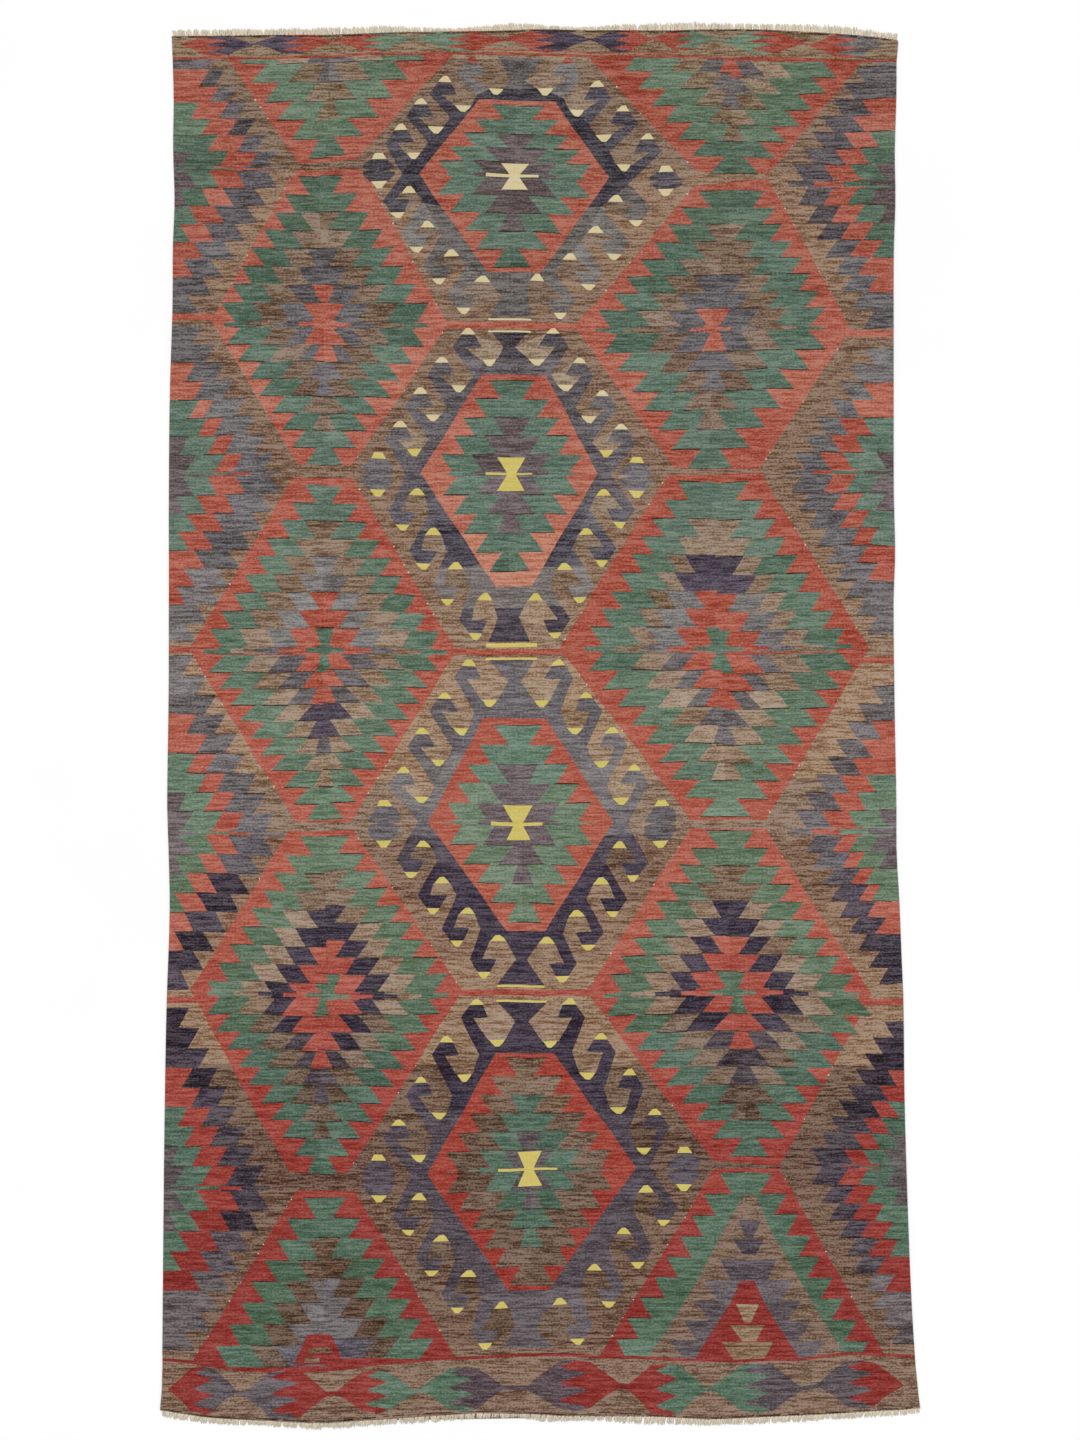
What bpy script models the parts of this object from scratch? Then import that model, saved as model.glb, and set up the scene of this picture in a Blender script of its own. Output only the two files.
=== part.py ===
"""Kilim rug: a flat-woven wool rug lying flat, with a short fringe of knotted warp ends at each end.

Metres, +Z up. The rug lies on z = 0 with its length along Y and its width along X.
The origin is on the floor under the middle of the rug.
"""

import math
import random

import bmesh
import bpy

# Driving dimensions
RUG_LENGTH = 3.00  # over both fringes
CLOTH_THICKNESS = 0.003
EDGE_ROUNDING = 0.0008
FRINGE_THICKNESS = 0.002
FRINGE_LOCKS = 150  # at each end
ROOT_STRIP = 0.003  # depth of the knotted line that the locks grow from
PIECE_GAP = 0.0003  # between the cloth and each root strip
LOCK_SHARE = 0.62  # of the pitch that a lock is wide at its root
TIP_SHARE = 0.40  # and at its tip
LOCK_SWAY = 0.0012  # how far a tip leans to either side
END_STEPS = 36  # straight steps along each end, shared by the cloth and its fringe
SIDE_STEPS = 66  # and along each selvage

# The selvages wander a little: their x at a few places along the length.
# (share of the length from the lower end, left selvage, right selvage)
SELVAGE_STATIONS = (
    (0.000, -0.8110, 0.8110),
    (0.035, -0.8065, 0.8025),
    (0.090, -0.8045, 0.7920),
    (0.165, -0.8025, 0.7830),
    (0.235, -0.8000, 0.7770),
    (0.305, -0.7960, 0.7745),
    (0.340, -0.7920, 0.7700),
    (0.375, -0.7895, 0.7660),
    (0.410, -0.7920, 0.7600),
    (0.445, -0.7950, 0.7595),
    (0.520, -0.7920, 0.7555),
    (0.590, -0.7915, 0.7535),
    (0.625, -0.7915, 0.7570),
    (0.660, -0.7915, 0.7540),
    (0.735, -0.7895, 0.7535),
    (0.800, -0.7835, 0.7535),
    (0.840, -0.7830, 0.7540),
    (0.875, -0.7790, 0.7575),
    (0.910, -0.7825, 0.7560),
    (0.945, -0.7810, 0.7595),
    (0.975, -0.7835, 0.7600),
    (1.000, -0.7855, 0.7640),
)

# The ends are not cut straight: how far the cloth's last weft lies inside the rug's full length,
# and how long the fringe is there.
# (share of the width from the left, upper inset, lower inset, upper fringe, lower fringe)
END_STATIONS = (
    (0.00, 0.0285, 0.0390, 0.0125, 0.0115),
    (0.03, 0.0285, 0.0315, 0.0125, 0.0120),
    (0.07, 0.0285, 0.0225, 0.0125, 0.0115),
    (0.11, 0.0270, 0.0205, 0.0125, 0.0115),
    (0.18, 0.0265, 0.0140, 0.0130, 0.0110),
    (0.22, 0.0265, 0.0125, 0.0145, 0.0120),
    (0.26, 0.0240, 0.0175, 0.0140, 0.0130),
    (0.31, 0.0205, 0.0250, 0.0115, 0.0135),
    (0.38, 0.0195, 0.0320, 0.0070, 0.0140),
    (0.43, 0.0185, 0.0340, 0.0105, 0.0105),
    (0.47, 0.0160, 0.0335, 0.0125, 0.0105),
    (0.51, 0.0140, 0.0290, 0.0085, 0.0120),
    (0.55, 0.0160, 0.0260, 0.0065, 0.0085),
    (0.58, 0.0170, 0.0315, 0.0080, 0.0135),
    (0.63, 0.0165, 0.0270, 0.0125, 0.0145),
    (0.68, 0.0175, 0.0235, 0.0145, 0.0130),
    (0.72, 0.0150, 0.0195, 0.0140, 0.0110),
    (0.80, 0.0145, 0.0255, 0.0105, 0.0125),
    (0.88, 0.0205, 0.0310, 0.0145, 0.0110),
    (0.93, 0.0255, 0.0370, 0.0145, 0.0110),
    (0.97, 0.0310, 0.0395, 0.0110, 0.0105),
    (1.00, 0.0380, 0.0440, 0.0120, 0.0095),
)
UPPER, LOWER = 1, 2  # columns of END_STATIONS with the two ends' insets

FRINGE_SEEDS = {UPPER: 11, LOWER: 23}

# Colours (linear) and roughness of the yarns, as an average over the pattern
WOOL_COLOUR = (0.190, 0.115, 0.085, 1.0)
WARP_COLOUR = (0.640, 0.560, 0.430, 1.0)
YARN_ROUGHNESS = 0.9


def along(stations, share, column):
    """The column's value at this share of the way, on a smooth curve through the stations."""
    last = len(stations) - 1
    k = next((i for i in range(last) if share <= stations[i + 1][0]), last - 1)
    x0, x1 = stations[k][0], stations[k + 1][0]
    t = (share - x0) / (x1 - x0)
    before, after = stations[max(k - 1, 0)], stations[min(k + 2, last)]
    y0, y1 = stations[k][column], stations[k + 1][column]
    slope0 = (y1 - before[column]) / (x1 - before[0]) * (x1 - x0)
    slope1 = (after[column] - y0) / (after[0] - x0) * (x1 - x0)
    return (
        (2 * t**3 - 3 * t**2 + 1) * y0
        + (t**3 - 2 * t**2 + t) * slope0
        + (3 * t**2 - 2 * t**3) * y1
        + (t**3 - t**2) * slope1
    )


def selvage_x(side, y):
    """Where the left (-1) or right (1) selvage is at this y."""
    share = min(max(y / RUG_LENGTH + 0.5, 0.0), 1.0)
    return along(SELVAGE_STATIONS, share, 1 if side < 0 else 2)


def end_width(end):
    """The left and right corners' x at the upper or lower end of the cloth."""
    y = RUG_LENGTH / 2 if end == UPPER else -RUG_LENGTH / 2
    return selvage_x(-1, y), selvage_x(1, y)


def end_point(end, share, outward=0.0):
    """A point on the cloth's upper or lower end, or that far outside it."""
    left, right = end_width(end)
    inset = along(END_STATIONS, share, end)
    sign = 1 if end == UPPER else -1
    return left + share * (right - left), sign * (RUG_LENGTH / 2 - inset + outward)


def cloth_outline():
    """The cloth's corners and edges as one closed loop, anticlockwise from the lower left."""
    lower = [end_point(LOWER, i / END_STEPS) for i in range(END_STEPS + 1)]
    upper = [end_point(UPPER, i / END_STEPS) for i in range(END_STEPS + 1)]

    def side_points(side, y_low, y_high):
        shares = [i / SIDE_STEPS for i in range(1, SIDE_STEPS)]
        heights = [y_low + (y_high - y_low) * share for share in shares]
        return [(selvage_x(side, y), y) for y in heights]

    right = side_points(1, lower[-1][1], upper[-1][1])
    left = side_points(-1, lower[0][1], upper[0][1])
    return lower + right + upper[::-1] + left[::-1]


def fringe_outline(end):
    """A comb: the root strip along the cloth's end, and its locks standing apart from each other."""
    chance = random.Random(FRINGE_SEEDS[end])
    root = [end_point(end, i / END_STEPS, PIECE_GAP) for i in range(END_STEPS + 1)]
    tips = []
    for i in range(FRINGE_LOCKS):
        middle = (i + 0.5) / FRINGE_LOCKS
        root_half = LOCK_SHARE * chance.uniform(0.88, 1.12) / 2 / FRINGE_LOCKS
        tip_half = TIP_SHARE * chance.uniform(0.75, 1.25) / 2 / FRINGE_LOCKS
        length = along(END_STATIONS, middle, end + 2) * chance.uniform(0.84, 1.0)
        sway = chance.uniform(-LOCK_SWAY, LOCK_SWAY)
        for share, outward, lean in (
            (middle - root_half, ROOT_STRIP, 0.0),
            (middle - tip_half, length, sway),
            (middle + tip_half, length, sway),
            (middle + root_half, ROOT_STRIP, 0.0),
        ):
            x, y = end_point(end, share, PIECE_GAP + outward)
            tips.append((x + lean, y))
    ends = [end_point(end, share, PIECE_GAP + ROOT_STRIP) for share in (0.0, 1.0)]
    return root + [ends[1]] + tips[::-1] + [ends[0]]


def centred(outlines):
    """The outlines moved so that the origin is under the middle of them all."""
    xs = [x for outline in outlines for x, _ in outline]
    ys = [y for outline in outlines for _, y in outline]
    middle_x = (min(xs) + max(xs)) / 2
    middle_y = (min(ys) + max(ys)) / 2
    return [[(x - middle_x, y - middle_y) for x, y in outline] for outline in outlines]


def yarn_material(name, colour):
    material = bpy.data.materials.new(name)
    material.use_nodes = True
    shader = material.node_tree.nodes["Principled BSDF"]
    shader.inputs["Base Color"].default_value = colour
    shader.inputs["Roughness"].default_value = YARN_ROUGHNESS
    shader.inputs["Metallic"].default_value = 0.0
    return material


def flat_piece(name, outline, thickness, material, collection):
    """A mesh object of this outline, lying on the floor, made from a filled and extruded 2D curve."""
    curve = bpy.data.curves.new(name + "_outline", "CURVE")
    curve.dimensions = "2D"
    curve.fill_mode = "BOTH"
    curve.extrude = thickness / 2
    spline = curve.splines.new("POLY")
    spline.points.add(len(outline) - 1)
    for point, (x, y) in zip(spline.points, outline):
        point.co = (x, y, 0.0, 1.0)
    spline.use_cyclic_u = True
    guide = bpy.data.objects.new(name + "_outline", curve)
    collection.objects.link(guide)
    guide.location.z = thickness / 2
    bpy.context.view_layer.update()

    evaluated = guide.evaluated_get(bpy.context.evaluated_depsgraph_get())
    mesh = bpy.data.meshes.new_from_object(evaluated)
    shape = bmesh.new()
    shape.from_mesh(mesh)
    bmesh.ops.remove_doubles(shape, verts=shape.verts, dist=0.00001)
    bmesh.ops.recalc_face_normals(shape, faces=shape.faces)
    shape.to_mesh(mesh)
    shape.free()
    mesh.name = name
    mesh.materials.clear()
    mesh.materials.append(material)
    piece = bpy.data.objects.new(name, mesh)
    piece.matrix_world = guide.matrix_world.copy()
    collection.objects.link(piece)
    bpy.data.objects.remove(guide)
    return piece


def round_edges(piece, width):
    bevel = piece.modifiers.new("rounded_edge", "BEVEL")
    bevel.width = width
    bevel.segments = 2
    bevel.limit_method = "ANGLE"
    bevel.angle_limit = math.radians(60)


def main():
    for old in list(bpy.data.objects):
        bpy.data.objects.remove(old)
    rug = bpy.data.collections.new("kilim_rug")
    bpy.context.scene.collection.children.link(rug)
    wool = yarn_material("wool_weft", WOOL_COLOUR)
    warp = yarn_material("undyed_warp", WARP_COLOUR)

    outlines = [cloth_outline(), fringe_outline(UPPER), fringe_outline(LOWER)]
    cloth, upper, lower = centred(outlines)
    woven = flat_piece("kilim_cloth", cloth, CLOTH_THICKNESS, wool, rug)
    round_edges(woven, EDGE_ROUNDING)
    flat_piece("fringe_upper", upper, FRINGE_THICKNESS, warp, rug)
    flat_piece("fringe_lower", lower, FRINGE_THICKNESS, warp, rug)


main()
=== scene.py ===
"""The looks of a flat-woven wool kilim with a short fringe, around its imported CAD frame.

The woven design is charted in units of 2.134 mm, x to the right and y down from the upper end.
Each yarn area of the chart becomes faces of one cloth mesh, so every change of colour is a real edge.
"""

import math
import random
from collections import namedtuple

import bmesh
import bpy
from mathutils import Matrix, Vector
from mathutils.geometry import delaunay_2d_cdt


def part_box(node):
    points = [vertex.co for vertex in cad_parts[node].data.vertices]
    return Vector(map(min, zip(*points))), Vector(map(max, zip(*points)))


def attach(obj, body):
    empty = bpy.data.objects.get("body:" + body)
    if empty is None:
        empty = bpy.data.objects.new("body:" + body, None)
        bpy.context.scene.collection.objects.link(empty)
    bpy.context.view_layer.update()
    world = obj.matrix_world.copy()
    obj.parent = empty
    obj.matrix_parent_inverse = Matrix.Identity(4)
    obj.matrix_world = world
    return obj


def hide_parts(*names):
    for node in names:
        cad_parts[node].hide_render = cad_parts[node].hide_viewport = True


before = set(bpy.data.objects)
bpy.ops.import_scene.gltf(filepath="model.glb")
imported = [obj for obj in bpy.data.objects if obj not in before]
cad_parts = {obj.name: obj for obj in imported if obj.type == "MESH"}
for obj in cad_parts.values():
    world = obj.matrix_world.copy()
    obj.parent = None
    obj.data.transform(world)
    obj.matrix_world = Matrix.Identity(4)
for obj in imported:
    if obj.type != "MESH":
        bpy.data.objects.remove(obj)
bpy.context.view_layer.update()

# ---------------------------------------------------------------- sizes, in metres
CHART_UNIT = 0.002134
CHART_MIDDLE = (540.0, 725.5)  # the chart's place for the rug's origin
CLOTH_THICKNESS = 0.003
EDGE_ROUNDING = 0.0008
WARP_PITCH = 0.00277  # between the ribs that the covered warps make
PICK_PITCH = 0.00125  # between the bead-like turns of weft on one rib
HIGHEST_RIPPLE = 0.0018  # how far the cloth lifts off the floor

# ---------------------------------------------------------------- yarns
# Dye lots down the length of each yarn: chart y where the lot ends, then red, green, blue as on a screen.
DYE_LOTS = {
    "red": (
        (70, 154, 80, 66),
        (300, 163, 92, 76),
        (350, 170, 98, 81),
        (410, 174, 104, 86),
        (500, 166, 90, 74),
        (660, 166, 88, 72),
        (720, 168, 90, 74),
        (960, 171, 94, 78),
        (1010, 163, 81, 69),
        (1080, 162, 80, 68),
        (1140, 153, 68, 59),
        (1210, 147, 62, 54),
        (1260, 142, 58, 52),
        (1500, 137, 54, 49),
    ),
    "hook_red": (
        (300, 165, 95, 78),
        (410, 159, 82, 67),
        (480, 170, 97, 79),
        (530, 172, 103, 84),
        (620, 181, 115, 92),
        (800, 172, 95, 79),
        (1000, 174, 99, 81),
        (1190, 161, 74, 62),
        (1500, 152, 64, 55),
    ),
    "green": (
        (60, 103, 121, 101),
        (140, 100, 118, 98),
        (240, 87, 105, 88),
        (350, 90, 110, 95),
        (430, 96, 116, 101),
        (550, 100, 118, 103),
        (670, 95, 115, 98),
        (790, 101, 120, 101),
        (840, 107, 127, 106),
        (900, 103, 121, 99),
        (970, 100, 119, 97),
        (1040, 93, 112, 92),
        (1180, 84, 105, 90),
        (1250, 86, 108, 90),
        (1345, 83, 105, 85),
        (1500, 93, 115, 97),
    ),
    "hook_green": (
        (240, 96, 115, 99),
        (300, 92, 110, 95),
        (560, 98, 118, 103),
        (700, 88, 108, 93),
        (790, 104, 126, 109),
        (1000, 110, 127, 106),
        (1500, 84, 106, 90),
    ),
    "blue": (
        (89, 107, 102, 100),
        (205, 79, 74, 80),
        (320, 114, 108, 104),
        (360, 80, 74, 79),
        (500, 104, 98, 100),
        (530, 103, 98, 103),
        (566, 84, 79, 87),
        (606, 126, 118, 115),
        (645, 84, 77, 84),
        (755, 107, 101, 104),
        (810, 119, 113, 112),
        (835, 107, 101, 104),
        (865, 78, 69, 77),
        (1110, 66, 57, 69),
        (1190, 82, 73, 80),
        (1290, 86, 77, 83),
        (1500, 98, 89, 93),
    ),
    "tooth_blue": (
        (130, 106, 100, 99),
        (250, 98, 91, 92),
        (310, 97, 92, 93),
        (370, 104, 99, 100),
        (560, 106, 100, 102),
        (600, 122, 117, 115),
        (640, 125, 121, 118),
        (660, 112, 107, 108),
        (760, 107, 101, 102),
        (900, 84, 74, 82),
        (1040, 68, 60, 71),
        (1180, 84, 74, 79),
        (1280, 103, 98, 101),
        (1340, 111, 105, 105),
        (1500, 95, 90, 97),
    ),
    "navy": ((1500, 78, 69, 80),),
    "side_blue": (
        (110, 99, 93, 94),
        (240, 92, 86, 89),
        (300, 102, 97, 98),
        (450, 110, 105, 105),
        (560, 105, 100, 101),
        (690, 117, 110, 111),
        (790, 111, 104, 105),
        (840, 115, 108, 110),
        (880, 101, 95, 99),
        (1000, 73, 64, 73),
        (1110, 63, 54, 63),
        (1150, 84, 75, 81),
        (1190, 76, 67, 75),
        (1232, 69, 59, 68),
        (1270, 85, 76, 82),
        (1500, 103, 94, 95),
    ),
    "purple": (
        (480, 98, 86, 86),
        (900, 108, 96, 98),
        (1300, 94, 85, 86),
        (1500, 91, 77, 81),
    ),
    "brown": (
        (60, 145, 124, 102),
        (170, 128, 105, 88),
        (290, 142, 115, 94),
        (500, 131, 106, 88),
        (600, 136, 110, 90),
        (660, 145, 120, 99),
        (780, 157, 128, 104),
        (840, 139, 116, 98),
        (900, 129, 102, 84),
        (960, 140, 112, 92),
        (1065, 149, 121, 98),
        (1130, 114, 91, 75),
        (1190, 107, 82, 70),
        (1345, 116, 92, 76),
        (1500, 127, 102, 85),
    ),
    "tooth_brown": (
        (70, 140, 118, 97),
        (140, 128, 109, 89),
        (320, 126, 105, 88),
        (480, 123, 102, 86),
        (600, 135, 113, 94),
        (670, 142, 120, 101),
        (800, 149, 127, 106),
        (910, 130, 108, 91),
        (1020, 144, 121, 102),
        (1090, 125, 105, 89),
        (1200, 106, 87, 74),
        (1280, 113, 90, 74),
        (1335, 101, 81, 67),
        (1500, 104, 85, 72),
    ),
    "hook_brown": (
        (180, 133, 111, 92),
        (345, 124, 104, 88),
        (450, 145, 124, 103),
        (600, 134, 113, 94),
        (830, 154, 130, 107),
        (880, 122, 100, 85),
        (1060, 145, 120, 99),
        (1110, 124, 101, 84),
        (1500, 108, 87, 72),
    ),
    "light_brown": ((1500, 142, 118, 92),),
    # painted shadow: a dark yarn laid where rows of weaving meet and along the cloth's two ends
    "painted_shadow": ((1500, 72, 58, 50),),
    "pale": (
        (452, 210, 195, 152),
        (1500, 205, 189, 106),
    ),
    "cream": ((1500, 214, 205, 186),),
}
# How much each yarn's shade wavers along and across its picks: chart y where it ends, strength.
STREAKS = {
    "red": ((700, 0.60), (1150, 0.52), (1500, 0.45)),
    "hook_red": ((620, 0.62), (1500, 0.48)),
    "green": ((1500, 0.50),),
    "hook_green": ((1500, 0.50),),
    "blue": ((560, 0.74), (1500, 0.60)),
    "tooth_blue": ((1500, 0.66),),
    "side_blue": ((1500, 0.74),),
    "purple": ((1500, 0.55),),
    "brown": ((1010, 0.95), (1500, 1.00)),
    "tooth_brown": ((1500, 0.86),),
    "hook_brown": ((1500, 0.90),),
    "light_brown": ((1500, 0.80),),
    "painted_shadow": ((1500, 0.60),),
    "navy": ((1500, 0.60),),
    "pale": ((1500, 0.20),),
    "cream": ((1500, 0.10),),
}
STREAK_DEPTH = 0.23  # of the strongest streaks, as a power of the yarn's colour
STREAK_PULL = 0.03  # streaks lighten a colour on the whole, and this evens it out
SPLIT_HEIGHT = 40.0  # an area taller than this is woven from more than one lot
SPLIT_YARNS = ("red", "hook_red", "blue", "brown")
TONE_SPREAD = 0.15  # between neighbouring areas of one yarn, for the streakiest

AREAS = []  # (yarn, outline) in the order they are laid, later ones over earlier ones


def lay(yarn, outline):
    """Lay one area of yarn over everything laid before it."""
    AREAS.append((yarn, [tuple(point) for point in outline]))


def between(a, b, share):
    return a + (b - a) * share


def lot(table, yarn, y):
    """The row of a yarn's table that holds at this chart y, without its first column."""
    rows = table[yarn]
    return next((row[1:] for row in rows if y < row[0]), rows[-1][1:])


# ---------------------------------------------------------------- serrated medallions
# A nest is the upper or lower half of a medallion. Its rings step out row by row from the tip.
# tip, middle: x of its axis there; left, right: y of the tip and of the middle on that side;
# step: how much wider each row is; slant: how far a tooth's edge leans back in;
# rings: (yarn, its first row counted from the tip, half width of that row)
# dark: rows in which the blue ring is woven with navy
Nest = namedtuple("Nest", "tip middle left right rows step slant rings dark", defaults=((),))
Medallion = namedtuple("Medallion", "corners upper lower bars")
ROW_OVERLAP = 0.5
FIRST_STEP_EXTRA = 3.0  # the outer ring's second row steps out further


def ring_width(nest, ring, row):
    """How far a ring reaches out from the axis in this row of its nest."""
    _, start, first = ring
    return first + nest.step * (1.0 - 0.02 * start) * (row - start) + (
        FIRST_STEP_EXTRA if row > start == 0 else 0.0)


def nest_axis(nest, row):
    return between(nest.tip, nest.middle, row / nest.rows)


def half_ring(nest, side, ring, rng, back=1.0):
    """One side of a ring: a tooth in each row, its edge leaning back in towards the middle."""
    yarn, start, _ = ring
    outer, inner = nest.left if side < 0 else nest.right
    height = (inner - outer) / nest.rows
    overlap = math.copysign(ROW_OVERLAP, height)
    for row in range(start, nest.rows):
        wide = ring_width(nest, ring, row) + rng.uniform(-1.2, 1.2)
        slant = min(nest.slant, wide * 0.62) + rng.uniform(-1.5, 1.5)
        axis = nest_axis(nest, row)
        top = outer + height * row
        base = top + height + overlap
        sag = rng.uniform(-0.7, 0.7)
        waist = (wide - slant * 0.46, top + height * 0.5 + sag)
        dark = yarn == "tooth_blue" and row in nest.dark
        lay("navy" if dark else yarn, (
            (axis - side * back, top),
            (axis + side * wide, top + sag),
            (axis + side * waist[0], waist[1]),
            (axis + side * (wide - slant), base + sag * 0.5),
            (axis - side * back, base),
        ))
        # a painted shadow line where this row meets the one before it
        row_shadow_line(axis + side * (wide - nest.step - slant), axis + side * wide, top, sag, rng)


def row_shadow_line(from_x, to_x, y, sag, rng):
    """The thin shadow where one row of weaving meets the next."""
    if rng.random() < 0.7:
        thick = rng.uniform(0.3, 0.62)
        lay("painted_shadow", (
            (from_x, y - thick), (to_x, y + sag - thick), (to_x, y + sag + thick), (from_x, y + thick),
        ))


def middle_bars(middle_x, bars, rings, rng):
    """The thin dash that each ring throws into the ring outside it, along the middle row."""
    top, base, reach, step = bars
    for yarn, start, _ in rings:
        near = reach - step * start
        if near < 3:
            break
        far = near + rng.uniform(11, 16)
        for side in (-1, 1):
            lay(yarn, (
                (middle_x, top - 0.5), (middle_x + side * near, top - 0.5),
                (middle_x + side * near, base + 0.5), (middle_x, base + 0.5),
            ))
            lay(yarn, (
                (middle_x + side * (near - 1), top + 1.2), (middle_x + side * far, top + 1.8),
                (middle_x + side * far, base - 1.4), (middle_x + side * (near - 1), base - 1.0),
            ))


def medallion(data, rng):
    """A red six-sided field with nested serrated rings and thin bars across its middle."""
    lay("red", data.corners)
    nests = [nest for nest in (data.upper, data.lower) if nest is not None]
    for level in range(max(len(nest.rings) for nest in nests)):
        for nest in nests:
            for ring in nest.rings[level:level + 1]:
                half_ring(nest, -1, ring, rng)
                half_ring(nest, 1, ring, rng)
    if data.bars is not None:
        middle_bars(data.upper.middle, data.bars, data.upper.rings, rng)


MEDALLIONS = (
    Medallion(  # top left, cut by the border
        ((205, 28), (470, 28), (450, 60), (357, 161), (299, 164), (228, 60)),
        None,
        Nest(327, 331, (158, 44), (156, 44), 6, 14.3, 15,
             (("green", 0, 19), ("tooth_brown", 2, 13), ("tooth_blue", 4, 13))),
        None),
    Medallion(  # top right
        ((570, 30), (885, 30), (862, 62), (768, 173), (697, 171), (590, 57)),
        None,
        Nest(734.5, 732, (173, 54), (173, 60), 7, 13, 15,
             (("green", 0, 25), ("tooth_brown", 2, 12), ("tooth_blue", 4, 10), ("red", 6, 12))),
        None),
    Medallion(
        ((297, 170), (365, 170), (447, 325), (350, 468), (296, 467), (212, 322)),
        Nest(322, 325, (177, 322), (176, 322), 8, 11, 12,
             (("green", 0, 23), ("tooth_brown", 2, 20), ("tooth_blue", 4, 15.5), ("red", 6, 11))),
        Nest(323, 325, (467, 329), (467, 329), 8, 11, 14,
             (("green", 0, 18), ("tooth_brown", 2, 12.5), ("tooth_blue", 4, 8), ("red", 6, 11.5))),
        (322, 329, 90, 13)),
    Medallion(
        ((695, 185), (768, 178), (850, 330), (760, 470), (675, 466), (573, 325)),
        Nest(731, 709, (190, 325), (190, 325), 8, 11.2, 13,
             (("green", 0, 32), ("tooth_brown", 2, 21), ("tooth_blue", 5, 26), ("red", 7, 17))),
        Nest(711, 714, (467, 331), (467, 331), 7, 14, 16,
             (("green", 0, 23), ("tooth_brown", 2, 14), ("tooth_blue", 4, 13), ("red", 6, 13))),
        (325, 331, 100, 13.4)),
    Medallion(
        ((292, 480), (352, 480), (458, 650), (350, 822), (295, 822), (190, 650)),
        Nest(323, 326, (487, 647), (488, 648), 9, 11.8, 11,
             (("green", 0, 18), ("tooth_brown", 2, 19), ("tooth_blue", 4, 15.5), ("red", 6, 15.5),
              ("green", 8, 10))),
        Nest(324, 325, (820, 657), (819, 654), 10, 10.6, 15,
             (("green", 0, 17), ("tooth_brown", 2, 10), ("tooth_blue", 4, 8), ("red", 7, 12),
              ("green", 9, 8)), (5, 6)),
        (648, 655, 107, 12.4)),
    Medallion(
        ((668, 473), (762, 473), (868, 650), (765, 821), (690, 822), (560, 648)),
        Nest(714, 718, (480, 645), (482, 649), 9, 11, 12,
             (("green", 0, 36), ("tooth_brown", 2, 27), ("tooth_blue", 4, 30), ("red", 6, 23),
              ("green", 8, 13)), (4, 5)),
        Nest(726, 721, (818, 652), (818, 655), 9, 13, 16,
             (("green", 0, 25), ("tooth_brown", 2, 16), ("tooth_blue", 4, 13), ("red", 6, 19),
              ("green", 8, 11))),
        (645, 652, 118, 13.4)),
    Medallion(
        ((288, 831), (352, 830), (463, 990), (348, 1172), (290, 1172), (190, 992)),
        Nest(323.5, 328, (836, 1001), (836, 990), 9, 11.6, 12,
             (("green", 0, 25), ("tooth_brown", 2, 22), ("tooth_blue", 4, 21), ("red", 6, 19),
              ("green", 8, 13))),
        Nest(322.5, 323, (1173, 998), (1173, 995), 10, 11.2, 14,
             (("green", 0, 14), ("tooth_brown", 2, 10.5), ("tooth_blue", 4, 9), ("red", 6, 11),
              ("green", 9, 8.5))),
        (991, 998, 108, 12.6)),
    Medallion(
        ((690, 830), (766, 830), (872, 993), (778, 1168), (712, 1162), (588, 990)),
        Nest(729, 733, (832, 991), (832, 992), 9, 11.8, 13,
             (("green", 0, 24), ("tooth_brown", 2, 21), ("tooth_blue", 4, 19), ("red", 6, 20),
              ("green", 8, 15))),
        Nest(748, 738, (1158, 997), (1158, 998), 9, 13.6, 16,
             (("green", 0, 20), ("tooth_brown", 2, 17), ("tooth_blue", 4, 15), ("red", 6, 13.5),
              ("green", 8, 10))),
        (991, 998, 113, 12.8)),
    Medallion(  # bottom left, cut by the border
        ((297, 1190), (355, 1190), (456, 1358), (470, 1380), (176, 1380), (190, 1362)),
        Nest(324, 324, (1197, 1365), (1197, 1357), 8, 12.2, 13,
             (("green", 0, 21), ("tooth_brown", 2, 16), ("tooth_blue", 4, 15))),
        None, None),
    Medallion(  # bottom right
        ((712, 1170), (778, 1170), (885, 1352), (900, 1375), (590, 1375), (600, 1358)),
        Nest(745, 742, (1174, 1362), (1174, 1362), 9, 12.2, 13, (("green", 0, 26),)),
        None, None),
)


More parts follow.
